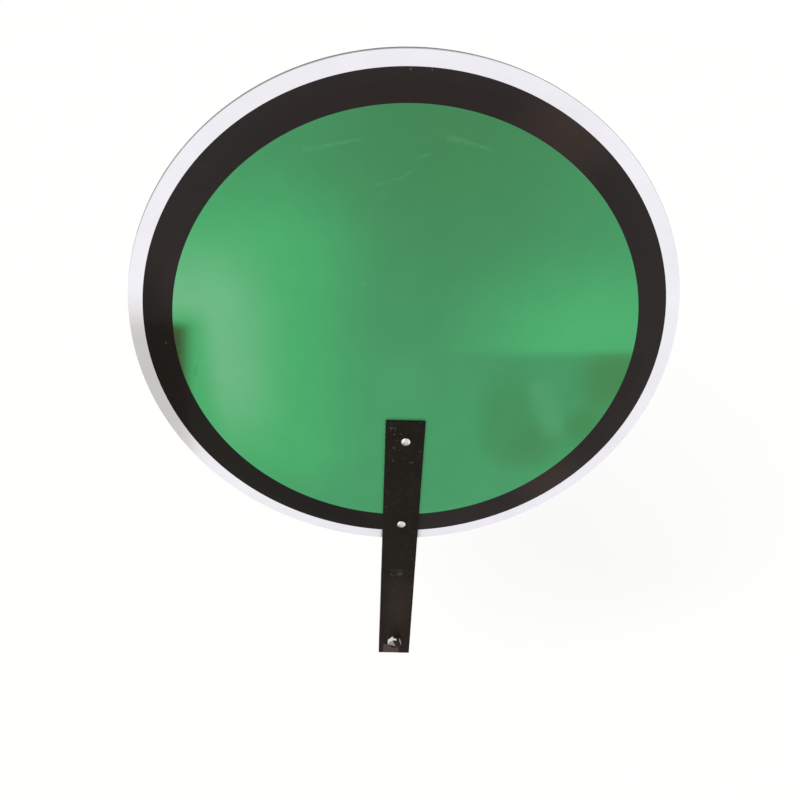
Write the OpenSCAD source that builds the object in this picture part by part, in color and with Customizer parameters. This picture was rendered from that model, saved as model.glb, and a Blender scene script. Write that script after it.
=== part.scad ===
// Round speed sign on a steel strap.
// A flat aluminium disc carries coloured sheeting on its face. A flat bar lies on the face,
// held by two blind rivets, and reaches down past the rim to a bolt that fastens it to a post.
// The face looks along -Y and +Z is up. The origin is on the bolt's axis, where the post
// bears on the back of the nut.

/* [Sign plate] */
// Diameter of the round plate
disc_d = 400; // [300:10:600]
// Thickness of the aluminium plate
plate_t = 2; // [1.5:0.5:4]
// Bevel filed on both edges of the plate's rim
rim_bevel = 0.3; // [0.1:0.1:0.6]

/* [Face sheeting] */
// Thickness of the coloured sheeting
film_t = 0.3; // [0.2:0.05:0.6]
// Width of the white border, from the plate's rim
border_w = 10; // [6:1:20]
// Width of the black ring inside the border
ring_w = 20; // [10:1:40]

/* [Strap] */
// Width of the flat bar
strap_w = 32; // [25:1:60]
// Thickness of the flat bar
strap_t = 3.2; // [2:0.2:6]
// Length of the flat bar
strap_len = 302; // [290:1:400]
// How far the bar reaches up over the plate from the plate's lowest point
strap_overlap = 134; // [90:1:145]
// Radius of the bar's rolled long edges
strap_edge_r = 0.6; // [0.2:0.1:1.4]

/* [Blind rivets] */
// Diameter of the rivet holes, which the set rivets fill
rivet_d = 4.1; // [3.7:0.1:4.9]
// Distance of the upper rivet below the bar's upper end
rivet_from_end = 20; // [12:1:30]
// Distance of the lower rivet above the plate's lowest point
rivet_from_rim = 20.5; // [12:0.5:40]
// How far both rivets sit to the right of the bar's middle
rivet_side = 0.7; // [-3:0.1:3]
// Diameter of the domed rivet head
rivet_head_d = 7.4; // [7:0.1:9.6]
// Height of the domed rivet head
rivet_head_h = 1.2; // [0.9:0.1:1.6]
// Thickness of the head at its edge
rivet_edge_h = 0.25; // [0.1:0.05:0.4]
// Diameter of the tail that is drawn up behind the plate
rivet_tail_d = 6.2; // [5.6:0.1:7]
// Height of the drawn tail
rivet_tail_h = 2.4; // [1.8:0.1:3.2]
// Rounding of the drawn tail
rivet_tail_r = 1; // [0.4:0.1:1.4]
// Length of the unswollen end of the rivet behind the tail
rivet_end_h = 1; // [0.6:0.1:1.6]
// Diameter of the steel pin left in the rivet
pin_d = 2.2; // [1.8:0.1:2.6]
// Diameter of the pin's own head, held in the rivet's end
pin_head_d = 3.2; // [2.9:0.1:3.4]
// Length of the pin's head
pin_head_h = 1.4; // [1:0.1:2]
// Depth of the broken pin below the top of the dome
pin_sink = 0.5; // [0.2:0.1:0.9]

/* [Strap rivet] */
// Shank diameter of the solid rivet in the bar
stud_d = 5; // [4:0.1:6]
// Diameter of its round head
stud_head_d = 8.8; // [7.6:0.1:10]
// Height of its round head
stud_head_h = 3; // [2:0.1:3.6]
// Height of the closing head behind the bar
stud_tail_h = 1.8; // [1:0.1:2.6]
// Distance of the rivet above the bolt
stud_above_bolt = 104.5; // [60:0.5:115]
// How far the rivet sits to the right of the bar's middle
stud_side = 1.2; // [-3:0.1:3]

/* [Post bolt] */
// Nominal thread diameter
bolt_d = 8; // [6:1:10]
// Mean diameter of the engaged thread, which is also that of the plain shank
thread_mean_d = 7.2; // [5.4:0.1:7.8]
// Length under the head
bolt_len = 35; // [25:5:60]
// Distance of the bolt above the bar's lower end
bolt_from_end = 21.5; // [14:0.5:30]
// Clearance hole for the bolt
bolt_hole_d = 9; // [8:0.5:11]
// Width across the flats of head and nut
hex_across = 12; // [12:0.5:17]
// Height of the bolt's head
head_h = 5.3; // [4:0.1:7]
// Height of the nut
nut_h = 6.5; // [5:0.1:8.4]
// Length of the bevelled tip
tip_h = 1; // [0.5:0.1:1.6]
// Angle at which the head came to rest
head_turn = 50; // [0:5:60]
// Angle at which the nut came to rest
nut_turn = 5; // [0:5:60]

/* [Hidden] */
$fn = 96;
// Places along Y, from the bearing face of the nut to the front of the bar
strap_back_y = -nut_h;
strap_front_y = strap_back_y - strap_t;
plate_front_y = strap_back_y + film_t;
plate_back_y = plate_front_y + plate_t;
grip = strap_t + film_t + plate_t;
// Open end of a blind rivet, measured from the face of the bar
rivet_end_z = -(grip + rivet_tail_h + rivet_end_h);
// Places along Z, from the bolt upwards
strap_low_z = -bolt_from_end;
strap_top_z = strap_low_z + strap_len;
plate_low_z = strap_top_z - strap_overlap;
disc_z = plate_low_z + disc_d / 2;
rivet_upper_z = strap_top_z - rivet_from_end;
rivet_lower_z = plate_low_z + rivet_from_rim;
// Radii of the rings on the face
film_r = disc_d / 2 - rim_bevel;
ring_r = disc_d / 2 - border_w;
field_r = ring_r - ring_w;
// A chamfered corner of head and nut falls away at this angle to the face
corner_angle = 30;
// The chamfer circle is this share of the width across the flats
corner_share = 0.95;
// How far a cut runs past the surface that it opens
past = 1;

// Puts a child that is drawn with +Z out of its face onto the sign, looking along -Y
module facing_front(y, z, x = 0) {
    translate([x, y, z]) rotate([90, 0, 0]) children();
}

// A straight hole through the bar, the sheeting and the plate
module cross_hole(z, d, x = 0) {
    facing_front(plate_back_y + past, z, x) cylinder(d = d, h = grip + 2 * past);
}

module rivet_holes() {
    for (z = [rivet_lower_z, rivet_upper_z]) cross_hole(z, rivet_d, rivet_side);
}

// Cap of a sphere with its flat side on the XY plane
module dome(d, h) {
    ball_r = (pow(d / 2, 2) + h * h) / (2 * h);
    translate([0, 0, h - ball_r]) intersection() {
        sphere(r = ball_r);
        translate([0, 0, ball_r - h]) cylinder(d = d + past, h = h + past);
    }
}

// One ring of sheeting on the plate's face, drilled with the plate
module sheeting(inner_r, outer_r) {
    difference() {
        facing_front(plate_front_y, disc_z) linear_extrude(film_t) difference() {
            circle(r = outer_r, $fn = 180);
            if (inner_r > 0) circle(r = inner_r, $fn = 180);
        }
        rivet_holes();
    }
}

// Cone that turns a hexagon's corners down on its far face
module corner_cone(high) {
    face_r = corner_share * hex_across / 2;
    cylinder(r1 = face_r + high / tan(corner_angle), r2 = face_r, h = high);
}

module hexagon(high) {
    intersection() {
        cylinder(d = hex_across / cos(30), h = high, $fn = 6);
        corner_cone(high);
    }
}

// Half section of the pin in a blind rivet: z = 0 is the face of the bar under the rivet's head
module pin_section(low_z, high_z) {
    neck_z = rivet_end_z + pin_head_h;
    cone_h = (pin_head_d - pin_d) / 2;
    polygon([
        [0, low_z], [pin_head_d / 2, low_z], [pin_head_d / 2, neck_z - cone_h],
        [pin_d / 2, neck_z], [pin_d / 2, high_z], [0, high_z]
    ]);
}

// Half section of the rivet's domed head
module rivet_head_section() {
    dome_h = rivet_head_h - rivet_edge_h;
    ball_r = (pow(rivet_head_d / 2, 2) + dome_h * dome_h) / (2 * dome_h);
    square([rivet_head_d / 2, rivet_edge_h]);
    intersection() {
        translate([0, rivet_head_h - ball_r]) circle(r = ball_r);
        square([rivet_head_d / 2, rivet_head_h]);
    }
}

// Half section of the tail that is drawn up behind the plate, rounded at the back
module rivet_tail_section() {
    translate([0, -grip - rivet_tail_h]) {
        translate([0, rivet_tail_r]) square([rivet_tail_d / 2, rivet_tail_h - rivet_tail_r]);
        square([rivet_tail_d / 2 - rivet_tail_r, rivet_tail_h]);
        translate([rivet_tail_d / 2 - rivet_tail_r, rivet_tail_r]) intersection() {
            circle(r = rivet_tail_r);
            translate([0, -rivet_tail_r]) square(rivet_tail_r);
        }
    }
}

// Aluminium body of a set blind rivet
module blind_rivet_body() {
    rotate_extrude() difference() {
        union() {
            rivet_head_section();
            translate([0, rivet_end_z]) square([rivet_d / 2, -rivet_end_z]);
            rivet_tail_section();
        }
        pin_section(rivet_end_z - past, rivet_head_h + past);
    }
}

// Steel pin that stays in the rivet, broken off below the top of the dome
module blind_rivet_pin() {
    rotate_extrude() pin_section(rivet_end_z, rivet_head_h - pin_sink);
}

module sign_plate() {
    half = disc_d / 2;
    color("silver") difference() {
        facing_front(plate_back_y, disc_z) rotate_extrude($fn = 180) polygon([
            [0, 0], [half - rim_bevel, 0], [half, rim_bevel],
            [half, plate_t - rim_bevel], [half - rim_bevel, plate_t], [0, plate_t]
        ]);
        rivet_holes();
    }
}

module white_border() {
    color([0.92, 0.91, 0.94]) sheeting(ring_r, film_r);
}

module black_ring() {
    color([0.17, 0.15, 0.14]) sheeting(field_r, ring_r);
}

module green_field() {
    color([0.29, 0.59, 0.39]) sheeting(0, field_r);
}

module mounting_strap() {
    core_w = strap_w - 2 * strap_edge_r;
    core_t = strap_t - 2 * strap_edge_r;
    color([0.14, 0.13, 0.11]) difference() {
        translate([0, (strap_front_y + strap_back_y) / 2, strap_low_z]) linear_extrude(strap_len) {
            square([strap_w, core_t], center = true);
            square([core_w, strap_t], center = true);
            for (x = [-1, 1], y = [-1, 1])
                translate([x * core_w / 2, y * core_t / 2]) circle(r = strap_edge_r);
        }
        rivet_holes();
        cross_hole(stud_above_bolt, stud_d, stud_side);
        cross_hole(0, bolt_hole_d);
    }
}

module rivet_upper() {
    color([0.8, 0.8, 0.78])
        facing_front(strap_front_y, rivet_upper_z, rivet_side) blind_rivet_body();
}

module rivet_lower() {
    color([0.8, 0.8, 0.78])
        facing_front(strap_front_y, rivet_lower_z, rivet_side) blind_rivet_body();
}

module rivet_pin_upper() {
    color("dimgray") facing_front(strap_front_y, rivet_upper_z, rivet_side) blind_rivet_pin();
}

module rivet_pin_lower() {
    color("dimgray") facing_front(strap_front_y, rivet_lower_z, rivet_side) blind_rivet_pin();
}

// Solid rivet with a round head in front and a lower closing head behind the bar
module strap_rivet() {
    color([0.2, 0.2, 0.16]) facing_front(strap_front_y, stud_above_bolt, stud_side) {
        dome(stud_head_d, stud_head_h);
        translate([0, 0, -strap_t]) cylinder(d = stud_d, h = strap_t);
        translate([0, 0, -strap_t]) mirror([0, 0, 1]) dome(stud_head_d, stud_tail_h);
    }
}

// Hexagon bolt: the engaged thread is drawn at its mean diameter and the free end at its crest
module post_bolt() {
    free_len = bolt_len - strap_t - nut_h;
    color([0.85, 0.85, 0.83]) facing_front(strap_front_y, 0) {
        rotate([0, 0, head_turn]) hexagon(head_h);
        translate([0, 0, tip_h - bolt_len]) cylinder(d = thread_mean_d, h = bolt_len - tip_h);
        translate([0, 0, tip_h - bolt_len]) cylinder(d = bolt_d, h = free_len - tip_h);
        translate([0, 0, -bolt_len]) cylinder(d1 = bolt_d - 2 * tip_h, d2 = bolt_d, h = tip_h);
    }
}

module post_nut() {
    color([0.85, 0.85, 0.83]) facing_front(0, 0) difference() {
        rotate([0, 0, nut_turn]) intersection() {
            hexagon(nut_h);
            translate([0, 0, nut_h]) mirror([0, 0, 1]) corner_cone(nut_h);
        }
        translate([0, 0, -past]) cylinder(d = thread_mean_d, h = nut_h + 2 * past);
    }
}

sign_plate();
white_border();
black_ring();
green_field();
mounting_strap();
rivet_upper();
rivet_lower();
rivet_pin_upper();
rivet_pin_lower();
strap_rivet();
post_bolt();
post_nut();
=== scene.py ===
import math

import bpy
from mathutils import Matrix, Vector, noise


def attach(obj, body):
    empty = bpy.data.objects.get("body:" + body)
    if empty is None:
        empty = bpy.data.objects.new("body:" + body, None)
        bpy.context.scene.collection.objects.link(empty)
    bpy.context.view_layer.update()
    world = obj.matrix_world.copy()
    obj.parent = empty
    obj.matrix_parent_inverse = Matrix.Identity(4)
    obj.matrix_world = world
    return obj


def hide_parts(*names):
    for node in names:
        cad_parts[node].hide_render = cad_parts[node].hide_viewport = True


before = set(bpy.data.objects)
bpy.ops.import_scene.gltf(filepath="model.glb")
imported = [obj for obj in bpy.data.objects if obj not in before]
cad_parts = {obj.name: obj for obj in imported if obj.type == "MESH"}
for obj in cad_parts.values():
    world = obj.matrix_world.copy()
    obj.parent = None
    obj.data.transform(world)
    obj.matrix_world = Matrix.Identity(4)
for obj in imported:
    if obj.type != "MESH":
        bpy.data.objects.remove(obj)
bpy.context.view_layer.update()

MM = 0.001
BODY = "root"

# Sizes and places in millimetres, in the frame of the CAD part
DISC_Z = 346.5
DISC_R = 200.0
FILM_R = 199.7
RING_R = 190.0
FIELD_R = 170.0
FILM_FRONT = -6.5
FILM_BACK = -6.2
PLATE_BACK = -4.2
STRAP_FRONT = -9.7
STRAP_BACK = -6.5
STRAP_W = 32.0
STRAP_LOW = -21.5
STRAP_TOP = 280.5
STRAP_EDGE = 0.6
STRAP_SKEW = 0.75
RIVET_X = 0.7
RIVETS = {"upper": 260.5, "lower": 167.0}
RIVET_HOLE_R = 2.05
RIVET_HEAD_R = 3.7
RIVET_TAIL = 3.4
PIN_SINK = 0.92
PIN_R = 1.08
STUD_X = 1.2
STUD_Z = 104.5
STUD_R = 2.5
STUD_HEAD_R = 4.4
STUD_FRONT_H = 3.0
STUD_BACK_H = 1.8
BOLT_HOLE_R = 4.5
NUT_H = 6.5
HEAD_H = 5.3
HEAD_TOP = STRAP_FRONT - HEAD_H
HEX_R = 6.0
HEX_FACE_R = 0.95 * HEX_R
HEX_SIDES = 288
CHAMFER = math.tan(math.radians(30))
HEAD_TURN = math.radians(50)
NUT_TURN = math.radians(5)
THREAD_PITCH = 1.25
THREAD_CREST = 4.0
THREAD_ROOT = 3.28
SHANK_R = 3.6
BOLT_END = 25.3
ROUND = 480


# Meshes


def make_object(name, verts, faces, sharp_deg=35):
    mesh = bpy.data.meshes.new(name)
    mesh.from_pydata([Vector(v) * MM for v in verts], [], faces)
    mesh.validate()
    mesh.update()
    for p in mesh.polygons:
        p.use_smooth = True
    mesh.set_sharp_from_angle(angle=math.radians(sharp_deg))
    obj = bpy.data.objects.new(name, mesh)
    bpy.context.scene.collection.objects.link(obj)
    return obj


def smoothstep(a, b, x):
    t = min(1.0, max(0.0, (x - a) / (b - a)))
    return t * t * (3 - 2 * t)


def wave(x, y, z, scale, seed):
    """Soft noise between -1 and 1 with features about `scale` millimetres wide."""
    return noise.noise(Vector((x / scale + seed, y / scale - seed, z / scale + 2 * seed)))


def warp(x, z):
    """How far the sheet stands off its flat plane: nothing under the strap, a little elsewhere."""
    off = math.hypot(max(abs(x) - STRAP_W / 2, 0), max(z - STRAP_TOP, 0))
    free = smoothstep(4, 90, off)
    return free * (0.14 * wave(x, 0, z, 150, 3.1) + 0.02 * wave(x, 0, z, 45, 7.7))


def skin(rows, sides):
    """Faces between neighbouring rows of points round an axis; a row of one point is a pole."""
    faces = []
    for a, b in zip(rows, rows[1:]):
        for i in range(sides):
            j = (i + 1) % sides
            if len(a) == 1:
                faces.append((a[0], b[j], b[i]))
            elif len(b) == 1:
                faces.append((a[i], a[j], b[0]))
            else:
                faces.append((a[i], a[j], b[j], b[i]))
    return faces


def revolve(name, profile, centre, sides, shape=None, sharp_deg=35):
    """Turns (radius, y) points about the line along Y through (x, z). Radius 0 closes to a point."""
    x0, z0 = centre
    verts, rows = [], []
    for r, y in profile:
        if r == 0:
            rows.append([len(verts)])
            verts.append((x0, y, z0))
            continue
        row = []
        for i in range(sides):
            a = 2 * math.pi * i / sides
            rr, yy = (r, y) if shape is None else shape(r, y, a)
            row.append(len(verts))
            verts.append((x0 + rr * math.cos(a), yy, z0 + rr * math.sin(a)))
        rows.append(row)
    return make_object(name, verts, skin(rows, sides), sharp_deg)


def closed(profile):
    return profile + [profile[0]]


def weld(obj, sharp_deg):
    """Joins the first and last rows of a closed profile."""
    mod = obj.modifiers.new("weld", "WELD")
    mod.merge_threshold = 0.002 * MM
    apply_modifiers(obj, sharp_deg)


def apply_modifiers(obj, sharp_deg):
    bpy.context.view_layer.update()
    graph = bpy.context.evaluated_depsgraph_get()
    mesh = bpy.data.meshes.new_from_object(obj.evaluated_get(graph))
    old = obj.data
    obj.modifiers.clear()
    obj.data = mesh
    bpy.data.meshes.remove(old)
    for p in mesh.polygons:
        p.use_smooth = True
    mesh.set_sharp_from_angle(angle=math.radians(sharp_deg))


def drill(obj, holes, sharp_deg=25):
    """Cuts round holes along Y, given as (x, z, radius)."""
    cutters = []
    y0, y1 = -30.0, 10.0
    for x, z, r in holes:
        profile = [(0, y0), (r, y0), (r, y1), (0, y1)]
        cutter = revolve("cutter", profile, (x, z), 48)
        cutters.append(cutter)
        mod = obj.modifiers.new("hole", "BOOLEAN")
        mod.operation = "DIFFERENCE"
        mod.solver = "EXACT"
        mod.object = cutter
    apply_modifiers(obj, sharp_deg)
    for cutter in cutters:
        mesh = cutter.data
        bpy.data.objects.remove(cutter)
        bpy.data.meshes.remove(mesh)


def finish_piece(obj, nodes, material):
    obj.data.materials.clear()
    obj.data.materials.append(material)
    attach(obj, BODY)
    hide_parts(*nodes)


def sheet_rows(r_in, r_out, step):
    """Radii from r_in to r_out about `step` apart."""
    count = max(1, round((r_out - r_in) / step))
    return [r_in + (r_out - r_in) * i / count for i in range(count + 1)]


def round_sheet(name, r_in, r_out, front, back, step, edge, rim=None):
    """A disc or ring of sheet that follows the warp of the sign."""

    def shaped(r, y, a):
        rr = r if rim is None else rim(r, y, a)
        return rr, y + warp(rr * math.cos(a), DISC_Z + rr * math.sin(a))

    inner = r_in if r_in == 0 else r_in + edge
    rows = sheet_rows(inner, r_out - edge, step)
    profile = [(r, front) for r in rows]
    profile += [(r_out, front + edge), (r_out, back - edge)]
    profile += [(r, back) for r in reversed(rows)]
    if r_in > 0:
        profile += [(r_in, back - edge), (r_in, front + edge)]
        profile = closed(profile)
    obj = revolve(name, profile, (0, DISC_Z), ROUND, shaped, sharp_deg=25)
    if r_in > 0:
        weld(obj, 25)
    return obj


def build_face():
    """The plate, its rim filed a little uneven by hand, and the three films on it."""

    def filed(r, y, a):
        if r < DISC_R - 1:
            return r
        x, z = r * math.cos(a), r * math.sin(a)
        return r - 0.05 * (1 + wave(x, y * 8, z, 6, 2.0)) - 0.04 * (1 + wave(x, y * 8, z, 1.4, 5.0))

    plate = round_sheet("sign_plate_sheet", 0, DISC_R, FILM_BACK, PLATE_BACK, 6.0, 0.3, filed)
    white = round_sheet("white_border_film", RING_R, FILM_R, FILM_FRONT, FILM_BACK, 3.3, 0.06)
    black = round_sheet("black_ring_film", FIELD_R, RING_R, FILM_FRONT, FILM_BACK, 5.0, 0.03)
    green = round_sheet("green_field_film", 0, FIELD_R, FILM_FRONT, FILM_BACK, 6.0, 0.03)
    drill(plate, [(RIVET_X, z, RIVET_HOLE_R) for z in RIVETS.values()])
    drill(black, [(RIVET_X, RIVETS["lower"], RIVET_HOLE_R)])
    drill(green, [(RIVET_X, RIVETS["upper"], RIVET_HOLE_R)])
    return plate, white, black, green


def strap_section(columns, side_rows, arc):
    """Points round the bar's section, which has rounded corners."""
    hw, ht, r = STRAP_W / 2, (STRAP_BACK - STRAP_FRONT) / 2, STRAP_EDGE
    points = []
    corners = [(1, 1, 0), (-1, 1, 90), (-1, -1, 180), (1, -1, 270)]
    for k, (sx, sy, start) in enumerate(corners):
        cx, cy = sx * (hw - r), sy * (ht - r)
        for i in range(arc + 1):
            a = math.radians(start + 90 * i / arc)
            points.append((cx + r * math.cos(a), cy + r * math.sin(a)))
        nx, ny, _ = corners[(k + 1) % 4]
        last = points[-1]
        a = math.radians(start + 90)
        end = (nx * (hw - r) + r * math.cos(a), ny * (ht - r) + r * math.sin(a))
        count = columns if k % 2 == 0 else side_rows
        for i in range(1, count):
            t = i / count
            points.append((last[0] + (end[0] - last[0]) * t, last[1] + (end[1] - last[1]) * t))
    return points


def build_strap():
    """The flat bar with eased ends, slightly uneven edges and faces, and its lower end off square."""
    section = strap_section(24, 4, 4)
    mid_y = (STRAP_FRONT + STRAP_BACK) / 2
    half_w, half_t = STRAP_W / 2, (STRAP_BACK - STRAP_FRONT) / 2
    eased, count = 0.45, 150
    ease = [(0.0, 0.45), (0.06, 0.25), (0.2, 0.1), (eased, 0.0)]
    stations = [(STRAP_LOW + dz, inset) for dz, inset in ease]
    straight = STRAP_TOP - STRAP_LOW - 2 * eased
    stations += [(STRAP_LOW + eased + straight * i / count, 0.0) for i in range(1, count)]
    stations += [(STRAP_TOP - dz, inset) for dz, inset in reversed(ease)]
    verts, faces = [], []
    for z, inset in stations:
        for x, y in section:
            px, py = x * ((half_w - inset) / half_w), y * (1 - inset / half_t)
            side = smoothstep(half_w - 1.5, half_w, abs(px))
            coarse = 0.07 * wave(px * 2, py * 3, z, 22, 1.3)
            rough = coarse + 0.035 * wave(px * 2, py * 3, z, 4, 9.1) - 0.05
            px += side * math.copysign(1, px) * rough
            face = 1 - smoothstep(half_w - 1.0, half_w, abs(px))
            if py < 0:
                py += face * (0.03 * (1 + wave(px, 0, z, 14, 4.4)))
            elif z < DISC_Z - DISC_R - 4:
                py -= face * (0.03 * (1 + wave(px, 9, z, 14, 6.4)))
            skew = STRAP_SKEW * px / half_w * (1 - smoothstep(STRAP_LOW, STRAP_LOW + 14, z))
            verts.append((px, mid_y + py, z - skew))
    n = len(section)
    for s in range(len(stations) - 1):
        for i in range(n):
            j = (i + 1) % n
            faces.append((s * n + j, s * n + i, (s + 1) * n + i, (s + 1) * n + j))
    faces.append(tuple(range(n)))
    faces.append(tuple(reversed(range((len(stations) - 1) * n, len(stations) * n))))
    strap = make_object("mounting_strap_bar", verts, faces, 40)
    holes = [(0, 0, BOLT_HOLE_R), (STUD_X, STUD_Z, STUD_R)]
    drill(strap, holes + [(RIVET_X, z, RIVET_HOLE_R) for z in RIVETS.values()], 40)
    return strap


def ball_radius(r, h):
    """Radius of the ball whose cap is `h` high and `r` in radius."""
    return (r**2 + h**2) / (2 * h)


def blind_rivet(name, z0, seed):
    """Domed head, shank and drawn tail of a set blind rivet with its hole, as one turned form."""
    front, back = STRAP_FRONT, PLATE_BACK
    bore_r, edge_h, dome_h = 1.42, 0.25, 0.95
    ball = ball_radius(RIVET_HEAD_R, dome_h)
    profile = []
    for i in range(15):
        r = bore_r + (RIVET_HEAD_R - 0.12 - bore_r) * i / 14
        h = edge_h + dome_h - (ball - math.sqrt(ball**2 - r**2))
        profile.append((r, front - h))
    profile += [(3.67, front - 0.22), (RIVET_HEAD_R, front - 0.12), (3.66, front - 0.02)]
    profile += [(3.6, front), (2.3, front), (RIVET_HOLE_R, front + 0.25)]
    tail = [(2.05, -0.2), (2.05, 0), (2.7, 0.02), (3.0, 0.18), (3.1, 0.6), (3.1, 1.3)]
    tail += [(3.02, 1.75), (2.75, 2.15), (2.35, 2.36), (2.1, 2.45), (2.05, 2.6), (2.05, 3.25)]
    tail += [(1.98, 3.38), (1.66, RIVET_TAIL), (1.62, 3.2), (1.62, 2.4), (1.12, 1.7)]
    profile += [(r, back + dy) for r, dy in tail]
    mouth = [(1.12, 0.55), (1.16, 0.92), (1.22, 1.06), (1.31, 1.13)]
    profile += [(r, front - dy) for r, dy in mouth]

    def shaped(r, y, a):
        x, z = r * math.cos(a), r * math.sin(a)
        bump = 0.0
        if y < front - 0.02 and r > 1.3:
            bump = 0.035 * wave(x, 0, z, 1.6, seed) + 0.012 * wave(x, 0, z, 0.5, seed)
        if y > back + 0.1:
            r = r * (1 + 0.02 * math.sin(2 * a + seed)) + 0.03 * wave(x, y, z, 1.2, seed)
        return r, y - bump

    obj = revolve(name, closed(profile), (RIVET_X, z0), 96, shaped, sharp_deg=50)
    weld(obj, 50)
    return obj


def rivet_pin(name, z0, seed):
    """The steel pin left in a blind rivet, broken off just inside the head."""
    top = STRAP_FRONT - PIN_SINK
    end = PLATE_BACK + RIVET_TAIL
    profile = [(r, top) for r in (0, 0.2, 0.4, 0.6, 0.8, 0.95, 1.04)]
    profile += [(PIN_R, top + 0.06), (PIN_R, end - 1.78), (1.56, end - 1.08)]
    profile += [(1.58, end - 0.35), (1.5, end - 0.1), (1.25, end - 0.02), (0.7, end), (0, end)]

    def shaped(r, y, a):
        x, z = r * math.cos(a), r * math.sin(a)
        if y < top + 0.1:
            y += 0.16 * wave(x, 0, z, 0.45, seed) + 0.08 * wave(x, 0, z, 0.17, seed) + 0.05
        return r, y

    return revolve(name, profile, (RIVET_X, z0), 48, shaped, sharp_deg=30)


def strap_stud():
    """Solid rivet: a hammered round head in front and a lower closing head behind the bar."""
    front, back = STRAP_FRONT, STRAP_BACK
    top, end = front - STUD_FRONT_H, back + STUD_BACK_H
    profile = [(0, top)]
    ball = ball_radius(STUD_HEAD_R, STUD_FRONT_H)
    for i in range(1, 19):
        a = i / 19 * math.asin(STUD_HEAD_R / ball)
        profile.append((ball * math.sin(a), top + ball * (1 - math.cos(a))))
    profile += [(STUD_HEAD_R, front - 0.1), (4.37, front), (STUD_R, front), (STUD_R, back)]
    profile += [(4.3, back), (STUD_HEAD_R, back + 0.1)]
    ball = ball_radius(STUD_HEAD_R, STUD_BACK_H)
    for i in range(14, 0, -1):
        a = i / 15 * math.asin(STUD_HEAD_R / ball)
        profile.append((ball * math.sin(a), end - ball * (1 - math.cos(a))))
    profile.append((0, end))

    def shaped(r, y, a):
        x, z = r * math.cos(a), r * math.sin(a)
        size = smoothstep(0.2, 1.2, r) * 0.1
        to_rim = 1 - smoothstep(3.2, STUD_HEAD_R, r)
        if y < front - 0.05:
            y += 0.16 * (0.3 + wave(x, 0, z, 2.4, 1.9)) * to_rim
            r *= 1 - size * 0.18 * (1 + wave(x, y, z, 2.8, 6.6))
        elif y > back + 0.05:
            y += 0.14 * wave(x, 3, z, 2.0, 8.9) * to_rim - 0.04
        return r, y

    return revolve("strap_rivet_head", profile, (STUD_X, STUD_Z), 96, shaped, sharp_deg=50)


def hex_radius(a, turn):
    """Radius of a hexagon at an angle; one of its corners lies at the angle `turn`."""
    rel = (a - turn) % (math.pi / 3) - math.pi / 6
    return HEX_R / math.cos(rel)


def thread_radius(y, a, crest, root):
    """Radius of the right-hand thread at a point, with narrow flat crests and roots."""
    phase = ((y + THREAD_PITCH * a / (2 * math.pi)) / THREAD_PITCH) % 1.0
    t = abs(phase * 2 - 1)
    flank = min(1.0, max(0.0, (t - 0.12) / 0.74))
    return root + (crest - root) * flank


class Hexagon:
    """Rows of points about the bolt's axis for its head and nut; a corner lies at the angle `turn`."""

    def __init__(self, turn):
        self.turn = turn
        self.verts, self.rows = [], []

    def pole(self, y):
        self.rows.append([len(self.verts)])
        self.verts.append((0, y, 0))

    def row(self, fn):
        """Adds a ring whose radius and y are `fn` of the angle."""
        row = []
        for i in range(HEX_SIDES):
            a = 2 * math.pi * i / HEX_SIDES + self.turn
            r, y = fn(a)
            row.append(len(self.verts))
            self.verts.append((r * math.cos(a), y, r * math.sin(a)))
        self.rows.append(row)

    def ring(self, r, y):
        self.row(lambda a: (r, y))

    def crown(self, share, y0, way):
        """A ring on the 30 degree chamfer between the face's circle and the corners."""
        self.row(lambda a: self.crown_point(a, share, y0, way))

    def crown_point(self, a, share, y0, way):
        full = hex_radius(a, self.turn) - 0.03
        r = HEX_FACE_R + (full - HEX_FACE_R) * share
        return r, y0 + way * (0.02 + (r - HEX_FACE_R) * CHAMFER)

    def flat_end(self, y0, way):
        """The ring where the flats begin, just past the chamfer."""
        self.row(
            lambda a: (hex_radius(a, self.turn), self.crown_point(a, 1.0, y0, way)[1] + way * 0.05)
        )

    def build(self, name):
        return make_object(name, self.verts, skin(self.rows, HEX_SIDES), 28)


def build_bolt():
    """Hexagon head with its washer face, and the shank with its thread to the free end."""
    front, top = STRAP_FRONT, HEAD_TOP
    bolt = Hexagon(HEAD_TURN)
    bolt.pole(top + 0.03)
    for r in (1.2, 2.4, 3.6, 4.5, 5.1, 5.45):
        bolt.ring(r, top + 0.03 * (1 - (r / HEX_FACE_R) ** 2))
    bolt.ring(HEX_FACE_R - 0.1, top)
    bolt.ring(HEX_FACE_R, top + 0.02)
    bolt.crown(0.5, top, 1)
    bolt.crown(1.0, top, 1)
    bolt.flat_end(top, 1)
    bolt.row(lambda a: (hex_radius(a, HEAD_TURN), front - 0.55))
    bolt.row(lambda a: (hex_radius(a, HEAD_TURN) - 0.04, front - 0.42))
    collar = [(5.8, -0.38), (5.75, -0.32), (5.7, 0), (4.4, 0), (3.9, 0.02), (SHANK_R, 0.35)]
    for r, dy in collar:
        bolt.ring(r, front + dy)
    start = front + 2.0
    step = THREAD_PITCH / 12
    count = int((BOLT_END - start) / step)
    for i in range(count + 1):
        y = start + i * step
        fade = smoothstep(start, start + 1.5, y)
        tip = smoothstep(BOLT_END - 1.3, BOLT_END, y)

        def thread(a, y=y, fade=fade, tip=tip):
            r = thread_radius(y, a, THREAD_CREST - 0.02, THREAD_ROOT)
            r = SHANK_R + (r - SHANK_R) * fade
            return min(r, THREAD_CREST - 0.85 * tip), y

        bolt.row(thread)
    bolt.ring(2.95, BOLT_END)
    bolt.ring(2.0, BOLT_END)
    bolt.pole(BOLT_END - 0.02)
    return bolt.build("post_bolt_threaded")


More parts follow.
